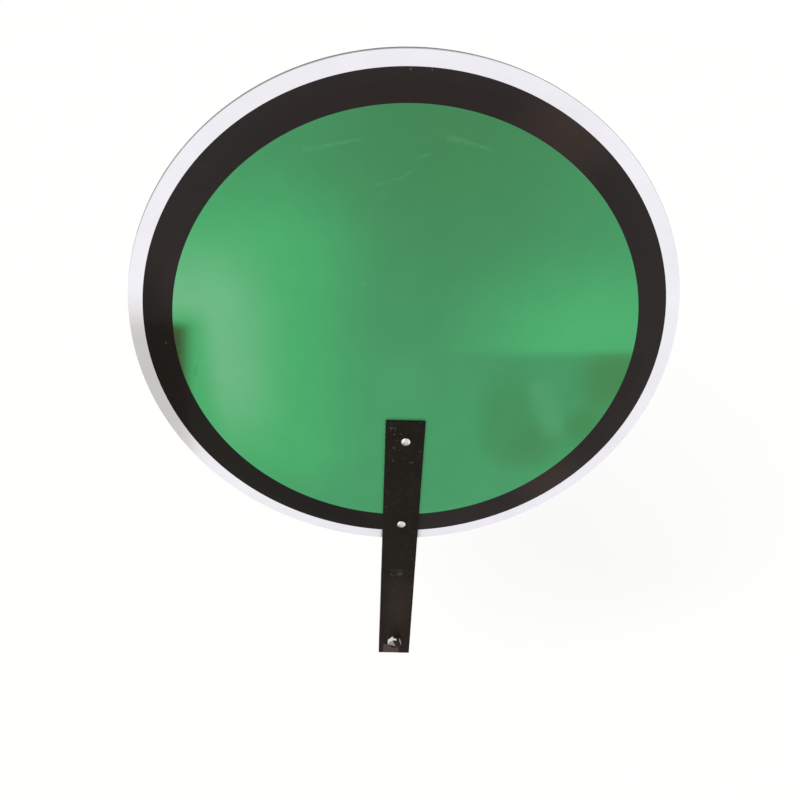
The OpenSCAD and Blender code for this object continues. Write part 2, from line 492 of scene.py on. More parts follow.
def build_nut():
    """Hexagon nut, chamfered on both sides, with its thread inside."""
    front, back = -NUT_H, 0.0
    mouth = 4.25
    face_rings = (4.8, 5.2, 5.5)
    nut = Hexagon(NUT_TURN)
    nut.ring(mouth, front)
    for r in face_rings:
        nut.ring(r, front)
    nut.ring(HEX_FACE_R, front + 0.02)
    nut.crown(0.5, front, 1)
    nut.crown(1.0, front, 1)
    nut.flat_end(front, 1)
    nut.flat_end(back, -1)
    nut.crown(1.0, back, -1)
    nut.crown(0.5, back, -1)
    nut.ring(HEX_FACE_R, back - 0.02)
    for r in reversed(face_rings):
        nut.ring(r, back)
    nut.ring(mouth, back)
    count = int(NUT_H / (THREAD_PITCH / 10))
    for i in range(count + 1):
        y = back - i * NUT_H / count

        def bore(a, y=y):
            r = thread_radius(y, a, THREAD_CREST + 0.08, THREAD_ROOT + 0.1)
            sink = max(4.2 - abs(y - back), 4.2 - abs(y - front), 0)
            return max(r, min(4.2, sink)), y

        nut.row(bore)
    nut.rows.append(nut.rows[0])
    return nut.build("post_nut_threaded")


# Materials: colours
WHITE_FILM = (0.82, 0.815, 0.87)
WHITE_PAINTED_SHADE = (0.725, 0.722, 0.712)
OUTER_EDGE_DARK = (0.20, 0.198, 0.190)
BLACK_FILM = (0.0210, 0.0170, 0.0158)
BLACK_PAINTED_SHADE = (0.0112, 0.0091, 0.0072)
BLACK_HAZE = (0.0360, 0.0255, 0.0225)
BLACK_SPECK = (0.110, 0.100, 0.095)
GREEN_FILM = (0.075, 0.400, 0.150)
GREEN_RUBBED = (0.25, 0.93, 0.44)
GREEN_SCRATCH = (0.020, 0.110, 0.045)
GREEN_DOT = (0.30, 0.62, 0.42)
GREEN_PAINTED_SHADE_BY_BAR = (0.040, 0.120, 0.060)
DUST = (0.62, 0.60, 0.55)
FINE_SCRATCH = (0.62, 0.64, 0.60)
BAR_PAINTED_SHADOW = (0.035, 0.032, 0.024)
SHEET = (0.60, 0.605, 0.61)
SHEET_HANDLED = (0.40, 0.39, 0.37)
SHEET_STAIN = (0.30, 0.30, 0.29)
SHEET_SCRATCH = (0.80, 0.80, 0.80)
SHEET_CUT = (0.055, 0.054, 0.052)
PAINT = ((0.0090, 0.0064, 0.0038), (0.0126, 0.0093, 0.0062))
PAINT_LOW = (0.0148, 0.0057, 0.0031)
PAINT_SHEEN = (0.067, 0.048, 0.043)
PAINT_REFLECTION_LOW = (0.080, 0.058, 0.050)
PAINT_DUST = (0.060, 0.054, 0.044)
BARE_STEEL = ((0.150, 0.145, 0.125), (0.075, 0.056, 0.042))
RIVET_METAL = (0.93, 0.92, 0.90)
RIVET_BLOTCH = (0.66, 0.64, 0.62)
RIVET_PAINTED_SHADE = (0.33, 0.31, 0.30)
PIN_METAL = (0.74, 0.73, 0.71)
PIN_RUST = (0.26, 0.17, 0.12)
STUD_PAINT = ((0.0125, 0.0115, 0.0022), (0.027, 0.026, 0.0065))
STUD_PAINTED_SHADE = (0.007, 0.006, 0.002)
STUD_WORN = (0.34, 0.33, 0.30)
ZINC = ((0.82, 0.815, 0.80), (0.70, 0.69, 0.67))
ZINC_DULL = (0.42, 0.41, 0.39)
ZINC_RUST = (0.14, 0.065, 0.03)
ZINC_PAINTED_HIGHLIGHT = (0.99, 0.985, 0.97)
ZINC_PAINTED_SHADE = (0.36, 0.35, 0.34)
HEAD_DARK = (0.010, 0.007, 0.006)

# Fine scratches: turn, width, threshold, stretch, shift, size of their patches and its limits
FILM_SCRATCHES = [
    (12, 0.5, 0.70, 140, 0.0, 60, 0.50, 0.62),
    (-38, 0.45, 0.71, 110, 31.0, 48, 0.52, 0.64),
    (71, 0.5, 0.71, 120, 77.0, 52, 0.55, 0.66),
]
SHEET_SCRATCHES = [
    (24, 0.5, 0.68, 120, 0.0, 45, 0.48, 0.60),
    (-52, 0.5, 0.69, 150, 13.0, 70, 0.48, 0.60),
    (83, 0.6, 0.70, 100, 51.0, 50, 0.52, 0.64),
]


class Mat:
    """A material with short calls for its nodes. Coordinates are the object's, in millimetres."""

    def __init__(self, name, shader="ShaderNodeBsdfPrincipled"):
        self.mat = bpy.data.materials.new(name)
        self.mat.use_nodes = True
        self.tree = self.mat.node_tree
        self.tree.nodes.clear()
        out = self.tree.nodes.new("ShaderNodeOutputMaterial")
        self.shader = self.tree.nodes.new(shader)
        self.tree.links.new(self.shader.outputs[0], out.inputs[0])
        coord = self.tree.nodes.new("ShaderNodeTexCoord")
        scaled = self.tree.nodes.new("ShaderNodeVectorMath")
        scaled.operation = "SCALE"
        scaled.inputs["Scale"].default_value = 1 / MM
        self.tree.links.new(coord.outputs["Object"], scaled.inputs[0])
        self.p = scaled.outputs[0]
        split = self.tree.nodes.new("ShaderNodeSeparateXYZ")
        self.tree.links.new(self.p, split.inputs[0])
        self.x, self.y, self.z = split.outputs

    def put(self, socket, value):
        if isinstance(value, bpy.types.NodeSocket):
            self.tree.links.new(value, socket)
        elif isinstance(value, (tuple, list)) and len(value) == 3 and socket.type == "RGBA":
            socket.default_value = (*value, 1.0)
        else:
            socket.default_value = value

    def math(self, op, a, b=0.0, c=0.0):
        n = self.tree.nodes.new("ShaderNodeMath")
        n.operation = op
        for socket, value in zip(n.inputs, (a, b, c)):
            self.put(socket, value)
        return n.outputs[0]

    def add(self, a, b):
        return self.math("ADD", a, b)

    def sub(self, a, b):
        return self.math("SUBTRACT", a, b)

    def mul(self, a, b):
        return self.math("MULTIPLY", a, b)

    def absolute(self, a):
        return self.math("ABSOLUTE", a)

    def inverse(self, a):
        return self.sub(1.0, a)

    def length(self, a, b):
        return self.math("SQRT", self.add(self.mul(a, a), self.mul(b, b)))

    def swing(self, value, amount):
        """What a value that runs about 0.5 adds, times `amount`."""
        return self.mul(self.sub(value, 0.5), amount)

    def most(self, *values):
        out = values[0]
        for v in values[1:]:
            out = self.math("MAXIMUM", out, v)
        return out

    def step(self, value, low, high, to_low=0.0, to_high=1.0):
        n = self.tree.nodes.new("ShaderNodeMapRange")
        n.interpolation_type = "SMOOTHSTEP"
        for key, v in (("Value", value), ("From Min", low), ("From Max", high)):
            self.put(n.inputs[key], v)
        self.put(n.inputs["To Min"], to_low)
        self.put(n.inputs["To Max"], to_high)
        return n.outputs[0]

    def fall(self, value, low, high):
        return self.step(value, low, high, 1.0, 0.0)

    def moved(self, scale, turn=(0, 0, 0), shift=(0, 0, 0)):
        n = self.tree.nodes.new("ShaderNodeMapping")
        n.inputs["Scale"].default_value = scale
        n.inputs["Rotation"].default_value = [math.radians(t) for t in turn]
        n.inputs["Location"].default_value = shift
        self.put(n.inputs["Vector"], self.p)
        return n.outputs[0]

    def noise(self, size, detail=2.0, rough=0.5, warp=0.0, vector=None):
        """Noise whose features are about `size` millimetres wide, from 0 to 1."""
        n = self.tree.nodes.new("ShaderNodeTexNoise")
        n.inputs["Scale"].default_value = 1.0 / size
        n.inputs["Detail"].default_value = detail
        n.inputs["Roughness"].default_value = rough
        n.inputs["Distortion"].default_value = warp
        self.put(n.inputs["Vector"], vector or self.p)
        return n.outputs[0]

    def mix(self, share, a, b):
        n = self.tree.nodes.new("ShaderNodeMix")
        n.data_type = "RGBA"
        self.put(n.inputs[0], share)
        self.put(n.inputs[6], a)
        self.put(n.inputs[7], b)
        return n.outputs[2]

    def tint(self, colour, value, amount):
        """Colour made lighter and darker by value, which runs about 0.5."""
        n = self.tree.nodes.new("ShaderNodeHueSaturation")
        shade = self.math("MULTIPLY_ADD", self.sub(value, 0.5), amount * 2, 1.0)
        self.put(n.inputs["Value"], shade)
        self.put(n.inputs["Color"], colour)
        return n.outputs[0]

    def bump(self, height, depth_mm):
        n = self.tree.nodes.new("ShaderNodeBump")
        n.inputs["Strength"].default_value = 1.0
        n.inputs["Distance"].default_value = depth_mm * MM
        self.put(n.inputs["Height"], height)
        return n.outputs[0]

    def stroke(self, a, b, width, soft):
        """1 on a straight mark from a to b in the face's plane, fading at its sides and ends."""
        (ax, az), (bx, bz) = a, b
        length = math.hypot(bx - ax, bz - az)
        ux, uz = (bx - ax) / length, (bz - az) / length
        dx, dz = self.sub(self.x, ax), self.sub(self.z, az)
        along = self.add(self.mul(dx, ux), self.mul(dz, uz))
        across = self.absolute(self.sub(self.mul(dx, uz), self.mul(dz, ux)))
        line = self.fall(across, width * (1 - soft) / 2, width * (1 + soft) / 2)
        begin = self.step(along, 0.0, length * 0.2)
        return self.mul(line, self.mul(begin, self.fall(along, length * 0.75, length)))

    def strokes(self, table, soft, ragged):
        """Marks from a table of start, end, width and weight, broken up by `ragged`."""
        marks = []
        for a, b, width, weight in table:
            marks.append(self.mul(self.mul(self.stroke(a, b, width, soft), ragged), weight))
        return self.most(*marks)

    def spot(self, at, r, ragged=0.35, grain=0.5):
        """1 on a ragged patch round a point of the face's plane."""
        d = self.length(self.sub(self.x, at[0]), self.sub(self.z, at[1]))
        rag = self.swing(self.noise(grain, 2, 0.6), ragged * 4 * r)
        return self.fall(self.add(d, rag), r * 0.8, r * 1.05)

    def oval(self, centre, radii, soft):
        """1 inside an oval of the face's plane, falling to 0 over the outer `soft` share of it."""
        dx = self.mul(self.sub(self.x, centre[0]), 1 / radii[0])
        dz = self.mul(self.sub(self.z, centre[1]), 1 / radii[1])
        return self.fall(self.length(dx, dz), 1.0 - soft, 1.0)

    def scratches(self, table):
        """1 on fine straight scratches, each kind in some places only."""
        kinds = []
        for turn, width, low, stretch, shift, patch, patch_low, patch_high in table:
            vector = self.moved((1 / stretch, 1.0, 1.0), (0, turn, 0), (shift, 0, shift))
            line = self.step(self.noise(width, 1.5, 0.5, 0.0, vector), low, low + 0.04)
            place = self.step(self.noise(patch, 2, 0.5), patch_low, patch_high)
            kinds.append(self.mul(line, place))
        return self.most(*kinds)

    def disc_radius(self):
        return self.length(self.x, self.sub(self.z, DISC_Z))

    def set(self, **values):
        for key, value in values.items():
            self.put(self.shader.inputs[key.replace("_", " ")], value)
        return self


def film_material(name, colour, metallic, rough, grain, shade, scuffs=(), coat=0.3, wear=1.0):
    """Sheeting. `shade` paints what stands out on this piece and `scuffs` are its rubbed marks."""
    m = Mat(name)
    bead = m.noise(0.55, 2, 0.6)
    base = m.tint(colour, m.noise(55, 3, 0.55), 0.05)
    base = m.tint(base, bead, grain)
    base = m.tint(base, m.noise(14, 4, 0.6), 0.04)
    base = shade(m, base)
    dust = m.mul(m.step(m.noise(0.42, 1, 0.5), 0.71, 0.76), m.step(m.noise(30, 2, 0.5), 0.42, 0.62))
    base = m.mix(m.mul(dust, 0.35 * wear), base, DUST)
    scratch = m.mul(m.scratches(FILM_SCRATCHES), 0.35)
    base = m.mix(m.mul(scratch, 0.30 * wear), base, FINE_SCRATCH)
    if scuffs:
        marks = m.strokes(scuffs, 0.5, m.step(m.noise(1.6, 3, 0.6), 0.34, 0.58))
        base = m.mix(m.mul(marks, 0.17), base, GREEN_RUBBED)
        scratch = m.most(scratch, m.mul(marks, 0.25))
    # a ragged painted shadow on the film beside the bar
    beside = m.fall(m.sub(m.absolute(m.x), STRAP_W / 2), 0.0, 2.2)
    below_top = m.step(m.z, STRAP_TOP + 1.5, STRAP_TOP - 1.0)
    shadow_beside_bar = m.mul(m.mul(beside, below_top), m.step(m.noise(2.5, 3, 0.6), 0.35, 0.65))
    base = m.mix(m.mul(shadow_beside_bar, 0.35), base, BAR_PAINTED_SHADOW)
    roughness = m.add(rough, m.swing(m.noise(26, 3, 0.6, 1.2), 0.05))
    roughness = m.add(roughness, m.mul(scratch, 0.2))
    peel = m.noise(1.8, 2, 0.5)
    height = m.add(m.mul(peel, 0.6), m.mul(bead, 0.25))
    height = m.sub(height, m.mul(scratch, 0.5))
    coat_height = m.add(m.noise(5.5, 2, 0.5), m.mul(peel, 0.15))
    # the film is dull, and darkened as a painted contact shadow, up to 3 mm above the bar's end
    dull_and_painted_shade_by_end = m.mul(m.step(m.absolute(m.x), 17.4, 16.2), m.step(m.z, STRAP_TOP + 3.0, STRAP_TOP + 2.0))
    dull_and_painted_shade_by_end = m.mul(dull_and_painted_shade_by_end, m.step(m.z, STRAP_TOP - 2.0, STRAP_TOP - 1.0))
    base = m.mix(m.mul(dull_and_painted_shade_by_end, 0.3), base, GREEN_PAINTED_SHADE_BY_BAR)
    m.set(Base_Color=base, Metallic=m.mul(m.inverse(dull_and_painted_shade_by_end), metallic))
    m.set(Roughness=roughness, Normal=m.bump(height, 0.006))
    m.set(Coat_Weight=coat, Coat_Roughness=0.07, Coat_IOR=1.45)
    m.set(Coat_Normal=m.bump(coat_height, 0.010), Specular_IOR_Level=coat / 3)
    return m.mat


def ring_shade(m, base):
    """The black ring has painted shade low on the left and is hazy at two places on the right."""
    # painted shade, low on the left of the ring
    slant = m.add(m.mul(m.x, 0.8), m.mul(m.sub(m.z, DISC_Z), 0.6))
    base = m.mix(m.step(slant, -90, -140), base, BLACK_PAINTED_SHADE)
    haze = m.most(m.oval((92, 504), (50, 42), 0.95), m.oval((129, 217), (48, 48), 0.95))
    base = m.mix(haze, base, BLACK_HAZE)
    specks = [m.spot((-8.0, 534.8), 0.7), m.spot((4.8, 535.2), 0.6), m.spot((-176.5, 345.6), 0.8)]
    return m.mix(m.mul(m.most(*specks), 0.5), base, BLACK_SPECK)


def border_shade(m, base):
    """The white border has painted shade at the far left, just below the middle, and is darker at its
    outer edge on the upper left.
    """
    # painted shade: the border is made greyer at the far left, just below the middle
    low = m.mul(m.step(m.x, -150, -176), m.mul(m.step(m.z, 388, 360), m.step(m.z, 222, 262)))
    base = m.mix(low, base, WHITE_PAINTED_SHADE)
    # the outer edge of the border is made darker on the upper left
    upper = m.add(m.mul(m.x, -0.45), m.mul(m.sub(m.z, DISC_Z), 0.89))
    edge = m.mul(m.step(m.disc_radius(), 199.0, 199.35), m.step(upper, 130, 185))
    return m.mix(m.mul(edge, 0.75), base, OUTER_EDGE_DARK)


def field_shade(m, base):
    """A short dark scratch at the left of the green field and one pale dot."""
    scratch = m.stroke((-156.4, 329.2), (-160.4, 316.5), 2.0, 0.9)
    base = m.mix(m.mul(scratch, 0.16), base, GREEN_SCRATCH)
    dot = m.oval((-34.8, 398.0), (2.6, 2.9), 0.9)
    return m.mix(m.mul(dot, 0.10), base, GREEN_DOT)


def aluminium_sheet():
    m = Mat("plate_aluminium")
    rolling = m.noise(0.35, 3, 0.65, 0.0, m.moved((0.012, 1, 1)))
    handled = m.step(m.noise(22, 4, 0.62, 1.6), 0.50, 0.72)
    stain = m.step(m.noise(7, 4, 0.7, 0.8), 0.62, 0.80)
    lines = m.scratches(SHEET_SCRATCHES)
    base = m.tint(SHEET, rolling, 0.10)
    base = m.tint(base, m.noise(34, 4, 0.6, 0.6), 0.14)
    base = m.mix(m.mul(handled, 0.22), base, SHEET_HANDLED)
    base = m.mix(m.mul(stain, 0.30), base, SHEET_STAIN)
    base = m.mix(m.mul(lines, 0.5), base, SHEET_SCRATCH)
    rough = m.add(0.34, m.swing(rolling, 0.18))
    rough = m.add(rough, m.mul(handled, 0.14))
    rough = m.sub(rough, m.mul(lines, 0.10))
    height = m.sub(m.mul(rolling, 0.5), m.mul(lines, 0.7))
    # the cut edge is made dark
    cut = m.mul(m.step(m.disc_radius(), DISC_R - 0.55, DISC_R - 0.3), 0.92)
    base = m.mix(cut, base, m.tint(SHEET_CUT, stain, 0.3))
    rough = m.add(rough, m.mul(cut, 0.15))
    m.set(Base_Color=base, Metallic=m.inverse(m.mul(cut, 0.7)), Roughness=rough)
    m.set(Normal=m.bump(height, 0.012))
    return m.mat


def strap_paint(chips, scratches):
    m = Mat("strap_paint")
    on_front = m.step(m.y, STRAP_FRONT + 0.6, STRAP_FRONT + 0.2)
    cloud = m.noise(24, 4, 0.6, 0.4)
    fine = m.noise(0.9, 3, 0.65)
    run = m.noise(3.0, 3, 0.6, 0.2, m.moved((1.0, 1.0, 0.08)))
    base = m.mix(m.step(cloud, 0.3, 0.7), *PAINT)
    base = m.tint(base, fine, 0.22)
    base = m.mix(m.mul(m.step(m.z, 120.0, -10.0), 0.6), base, PAINT_LOW)
    # a painted sheen, lighter and streaky, down the middle of the lower half
    streaky = m.add(0.11, m.mul(m.noise(4.0, 4, 0.65), 0.13))
    sheen_down_middle = m.mul(m.oval((2.0, 60.0), (22.0, 62.0), 0.8), streaky)
    base = m.mix(m.mul(sheen_down_middle, on_front), base, PAINT_SHEEN)
    # a painted reflection, light brownish, on the bar's front below the bolt
    below = m.add(m.z, m.swing(m.noise(9, 3, 0.6), 7.0))
    across = m.mul(m.step(m.x, -12.5, -10.0), m.step(m.x, 6.0, 3.5))
    reflection_below_bolt = m.mul(m.mul(m.step(below, -5.5, -9.0), across), on_front)
    base = m.mix(m.mul(reflection_below_bolt, 0.85), base, PAINT_REFLECTION_LOW)
    dusty = m.mul(m.step(m.noise(5.0, 4, 0.65), 0.50, 0.72), 0.16)
    base = m.mix(dusty, base, PAINT_DUST)
    # where the paint is rubbed through: long edges, ends, pits, chips and scratches
    edge = m.step(m.absolute(m.x), 15.35, 15.95)
    top = m.step(m.z, STRAP_TOP - 1.0, STRAP_TOP - 0.1)
    bottom = m.step(m.z, STRAP_LOW + 1.0, STRAP_LOW + 0.1)
    worn = m.mul(m.most(edge, top, bottom), m.step(m.noise(1.3, 4, 0.7), 0.56, 0.66))
    worn = m.mul(worn, m.step(m.noise(17, 2, 0.5), 0.40, 0.60))
    pits = m.step(m.noise(0.7, 2, 0.6), 0.70, 0.74)
    pits = m.mul(pits, m.step(m.noise(12, 3, 0.6), 0.55, 0.70))
    marks = [m.mul(m.spot(at, 0.85 * r, 0.6, 0.35), weight) for at, r, weight in chips]
    marks.append(m.strokes(scratches, 0.4, m.step(m.noise(0.5, 2, 0.6), 0.36, 0.58)))
    marks = m.mul(m.most(*marks), m.step(m.y, STRAP_FRONT + 0.3, STRAP_FRONT + 0.1))
    # a painted highlight along the left edge below the disc, drawn as bare steel
    left = m.mul(m.step(m.x, -15.1, -15.7), m.step(m.z, 150.0, 140.0))
    left = m.mul(left, m.step(m.noise(11, 3, 0.6, 0.0, m.moved((1, 1, 0.5))), 0.38, 0.55))
    bare_and_edge_highlight = m.most(m.mul(pits, 0.35), marks, m.mul(worn, 0.75), m.mul(left, 0.9))
    steel = m.mix(m.step(m.noise(0.8, 3, 0.6), 0.40, 0.62), *BARE_STEEL)
    base = m.mix(bare_and_edge_highlight, base, steel)
    rough = m.add(0.40, m.swing(cloud, 0.16))
    rough = m.add(rough, m.mul(dusty, 0.8))
    rough = m.add(rough, m.swing(fine, 0.10))
    height = m.add(m.mul(m.noise(2.2, 2, 0.5), 0.55), m.mul(fine, 0.20))
    height = m.add(height, m.mul(run, 0.25))
    height = m.sub(height, m.mul(bare_and_edge_highlight, 0.9))
    m.set(Base_Color=base, Roughness=rough, Normal=m.bump(height, 0.045))
    m.set(Metallic=m.mul(bare_and_edge_highlight, 0.55), Specular_IOR_Level=0.07)
    return m.mat


def rivet_aluminium(name, z0):
    m = Mat(name)
    fine = m.noise(0.35, 3, 0.6)
    blotch = m.noise(1.7, 3, 0.6, 0.5)
    base = m.tint(RIVET_METAL, fine, 0.08)
    base = m.mix(m.step(blotch, 0.50, 0.72), base, RIVET_BLOTCH)
    # painted shade towards the lower left
    down = m.add(m.mul(m.sub(m.x, RIVET_X), 0.35), m.sub(m.z, z0))
    down = m.add(down, m.swing(m.noise(1.1, 3, 0.6), 2.4))
    base = m.mix(m.step(down, 1.4, -3.4), base, RIVET_PAINTED_SHADE)
    scratch = m.step(m.noise(0.22, 2, 0.5, 0.0, m.moved((0.12, 1, 1), (0, 35, 0))), 0.60, 0.68)
    rough = m.add(0.22, m.swing(blotch, 0.16))
    height = m.sub(m.mul(fine, 0.5), m.mul(scratch, 0.5))
    m.set(Base_Color=base, Metallic=1.0, Roughness=rough, Normal=m.bump(height, 0.02))
    return m.mat


def pin_steel():
    m = Mat("pin_steel")
    grit = m.noise(0.18, 3, 0.65)
    rust = m.step(m.noise(0.7, 3, 0.6), 0.52, 0.70)
    base = m.tint(PIN_METAL, grit, 0.2)
    base = m.mix(m.mul(rust, 0.35), base, PIN_RUST)
    m.set(Base_Color=base, Metallic=0.85, Roughness=m.add(0.38, m.mul(rust, 0.3)))
    m.set(Normal=m.bump(grit, 0.05))
    return m.mat


def stud_paint():
    m = Mat("strap_rivet_paint")
    cloud = m.noise(2.6, 3, 0.6)
    fine = m.noise(0.45, 3, 0.6)
    base = m.mix(m.step(cloud, 0.35, 0.65), *STUD_PAINT)
    base = m.tint(base, fine, 0.2)
    # painted shade on the head's left side
    base = m.mix(m.step(m.x, STUD_X + 0.2, STUD_X - 2.0), base, STUD_PAINTED_SHADE)
    front = m.step(m.y, STRAP_FRONT - 1.7, STRAP_FRONT - 2.5)
    worn = m.mul(m.step(m.noise(0.65, 3, 0.65), 0.58, 0.68), front)
    base = m.mix(m.mul(worn, 0.75), base, STUD_WORN)
    rough = m.add(0.36, m.swing(fine, 0.2))
    height = m.sub(m.add(m.mul(cloud, 0.6), m.mul(fine, 0.3)), m.mul(worn, 0.6))
    m.set(Base_Color=base, Metallic=m.mul(worn, 0.8), Roughness=rough)
    m.set(Specular_IOR_Level=0.14, Normal=m.bump(height, 0.06))
    return m.mat


def on_head_front(m):
    return m.step(m.y, HEAD_TOP + 0.75, HEAD_TOP + 0.35)


def on_head(m):
    return m.step(m.y, STRAP_FRONT + 0.4, STRAP_FRONT)


def head_darkening(m):
    """Where the bolt's head is darkened: most of it but the upper left."""
    ragged = m.swing(m.noise(1.3, 4, 0.6), 1.6)
    right = m.add(m.add(m.mul(m.x, 0.95), m.mul(m.z, 0.32)), ragged)
    below = m.add(m.add(m.mul(m.x, -0.31), m.mul(m.z, -0.95)), ragged)
    face = m.most(m.step(right, -0.2, 0.3), m.step(below, 1.6, 2.2))
    dx = m.mul(m.add(m.x, 0.1), 1 / 2.3)
    dy = m.mul(m.sub(m.y, STRAP_FRONT - 3.9), 1 / 1.6)
    chip = m.fall(m.length(dx, dy), 0.85, 1.05)
    rubbed = m.mul(m.step(m.x, 4.6, 5.0), 0.6)
    side = m.mul(m.step(m.add(m.x, ragged), -1.7, -1.1), m.inverse(m.most(chip, rubbed)))
    front = on_head_front(m)
    paint = m.add(m.mul(face, front), m.mul(side, m.inverse(front)))
    return m.mul(paint, on_head(m))


def bolt_zinc(name, painted):
    m = Mat(name)
    blotch = m.noise(2.4, 4, 0.6, 0.5)
    fine = m.noise(0.28, 3, 0.6)
    base = m.mix(m.step(blotch, 0.35, 0.68), *ZINC)
    base = m.tint(base, fine, 0.10)
    dull = m.step(m.noise(1.1, 4, 0.7), 0.56, 0.72)
    base = m.mix(m.mul(dull, 0.45), base, ZINC_DULL)
    rust = m.mul(m.step(m.noise(0.9, 3, 0.65, 0.4), 0.64, 0.74), 0.6)
    base = m.mix(rust, base, ZINC_RUST)
    rough = m.add(0.24, m.mul(dull, 0.22))
    rough = m.add(rough, m.swing(fine, 0.12))
    metallic = m.inverse(m.mul(rust, 0.8))
    if painted:
        # the head's flats are painted white and not metallic as a highlight, and its front is painted
        # grey as shade
        front = on_head_front(m)
        highlight_flats = m.mul(m.inverse(front), on_head(m))
        base = m.mix(m.mul(highlight_flats, 0.97), base, ZINC_PAINTED_HIGHLIGHT)
        base = m.mix(m.mul(front, 0.7), base, ZINC_PAINTED_SHADE)
        metallic = m.mul(metallic, m.inverse(highlight_flats))
        # the head is darkened over most of it, all but the upper left
        paint = head_darkening(m)
        base = m.mix(m.mul(paint, 0.98), base, HEAD_DARK)
        m.set(Specular_IOR_Level=m.sub(0.5, m.mul(paint, 0.46)))
        rough = m.add(rough, m.mul(paint, 0.15))
        metallic = m.mul(metallic, m.inverse(paint))
    height = m.add(m.mul(fine, 0.4), m.mul(blotch, 0.5))
    m.set(Base_Color=base, Metallic=metallic, Roughness=rough, Normal=m.bump(height, 0.02))
    return m.mat


# Stage, lamps and camera. What stands before the sign, out of the picture, and is mirrored in it
SKY = 0.85
FLOOR_GLOW = 0.15
FLOOR_SIZE = 12000.0
FLOOR_Z = -430.0
SUN_TOWARDS = (-0.45, -0.62, 0.64)
SUN_STRENGTH = 1.1
SUN_ANGLE = 35.0
SUN_COLOUR = (1.0, 0.99, 0.975)
SKY_COLOUR = (1.0, 0.995, 0.985, 1)
WHITE = (1, 1, 1, 1)
CARD_Y = -280.0
ROOM_BOX = (-279, 309, -118, 486)
POST_BOX = (-335, -263, 12, 214)
LOW_BOX = (-260, 260, -520, -160)
ROOM = (0.72, 0.67, 0.73)
ROOM_LOW = (0.72, 0.74, 0.80)
CEILING = (0.62, 0.48, 0.50)
LEFT_GLOW = (0.79, 1.02, 0.91)
OPENING = (1.95, 1.22, 1.55)
DARK_POST = (0.42, 0.02, 0.01)
RIGHT_WALL = (0.88, 1.06, 1.00)
LOW_RIGHT = (0.68, 0.54, 0.51)
LOW_MIDDLE = (0.64, 0.58, 0.58)
FAR_RIGHT = (0.70, 0.49, 0.42)
PALE_PATCH = (0.80, 0.76, 0.86)
PALE_STREAK = (1.00, 0.76, 0.94)
LOW_DIM = (0.32, 0.31, 0.30)
LOW_STRIPE = (0.55, 0.54, 0.53)
POST_SIDE = (0.03, 0.03, 0.03)
LENS = 30.141
SHIFT_X = -0.03545
CAMERA_AZ = math.radians(-3.124)
CAMERA_EL = math.radians(30.283)
CAMERA_OFF = 0.499846
CAMERA_TURNS = (("Z", 3.137), ("Y", -1.604), ("X", -4.393))


def seen_mix(tree, seen, unseen):
    """Mixes two shaders: `seen` for camera, glossy and transmission rays, `unseen` for the rest."""
    rays = tree.nodes.new("ShaderNodeLightPath")
    total = None
    for name in ("Is Camera Ray", "Is Glossy Ray", "Is Transmission Ray"):
        if total is None:
            total = rays.outputs[name]
            continue
        n = tree.nodes.new("ShaderNodeMath")
        n.operation = "MAXIMUM"
        tree.links.new(total, n.inputs[0])
        tree.links.new(rays.outputs[name], n.inputs[1])
        total = n.outputs[0]
    mix = tree.nodes.new("ShaderNodeMixShader")
    tree.links.new(total, mix.inputs[0])
    tree.links.new(unseen, mix.inputs[1])
    tree.links.new(seen, mix.inputs[2])
    return mix.outputs[0]


def build_world():
    """Soft light all round, which camera and mirrors see as plain white."""
    world = bpy.data.worlds.new("studio")
    bpy.context.scene.world = world
    world.use_nodes = True
    tree = world.node_tree
    tree.nodes.clear()
    out = tree.nodes.new("ShaderNodeOutputWorld")
    soft = tree.nodes.new("ShaderNodeBackground")
    soft.inputs[0].default_value = SKY_COLOUR
    soft.inputs[1].default_value = SKY
    white = tree.nodes.new("ShaderNodeBackground")
    white.inputs[0].default_value = WHITE
    white.inputs[1].default_value = 1.0
    tree.links.new(seen_mix(tree, white.outputs[0], soft.outputs[0]), out.inputs[0])


def build_floor():
    """A pale floor that renders white and keeps the sign's faint shadow."""
    size, z = FLOOR_SIZE, FLOOR_Z
    verts = [(-size, -size, z), (size, -size, z), (size, size, z), (-size, size, z)]
    floor = make_object("floor", verts, [(0, 1, 2, 3)])
    mat = bpy.data.materials.new("floor_white")
    mat.use_nodes = True
    tree = mat.node_tree
    tree.nodes.clear()
    out = tree.nodes.new("ShaderNodeOutputMaterial")
    plain = tree.nodes.new("ShaderNodeBsdfDiffuse")
    plain.inputs[0].default_value = (0.8, 0.8, 0.8, 1)
    lit = tree.nodes.new("ShaderNodeEmission")
    lit.inputs[1].default_value = FLOOR_GLOW
    both = tree.nodes.new("ShaderNodeAddShader")
    tree.links.new(plain.outputs[0], both.inputs[0])
    tree.links.new(lit.outputs[0], both.inputs[1])
    tree.links.new(seen_mix(tree, both.outputs[0], plain.outputs[0]), out.inputs[0])
    floor.data.materials.append(mat)


def build_card(name, box, y, paint, sides=4):
    """An upright card that only glossy rays see, so it shapes reflections and sheds no light."""
    x0, x1, z0, z1 = box
    cx, cz, rx, rz = (x0 + x1) / 2, (z0 + z1) / 2, (x1 - x0) / 2, (z1 - z0) / 2
    if sides == 4:
        verts = [(x0, y, z0), (x1, y, z0), (x1, y, z1), (x0, y, z1)]
    else:
        turns = [2 * math.pi * i / sides for i in range(sides)]
        verts = [(cx + rx * math.cos(t), y, cz + rz * math.sin(t)) for t in turns]
    card = make_object(name, verts, [tuple(range(len(verts)))])
    m = Mat(name, "ShaderNodeEmission")
    m.put(m.shader.inputs[0], paint(m))
    card.data.materials.append(m.mat)
    card.visible_camera = False
    card.visible_diffuse = False
    card.visible_shadow = False
    card.visible_transmission = False


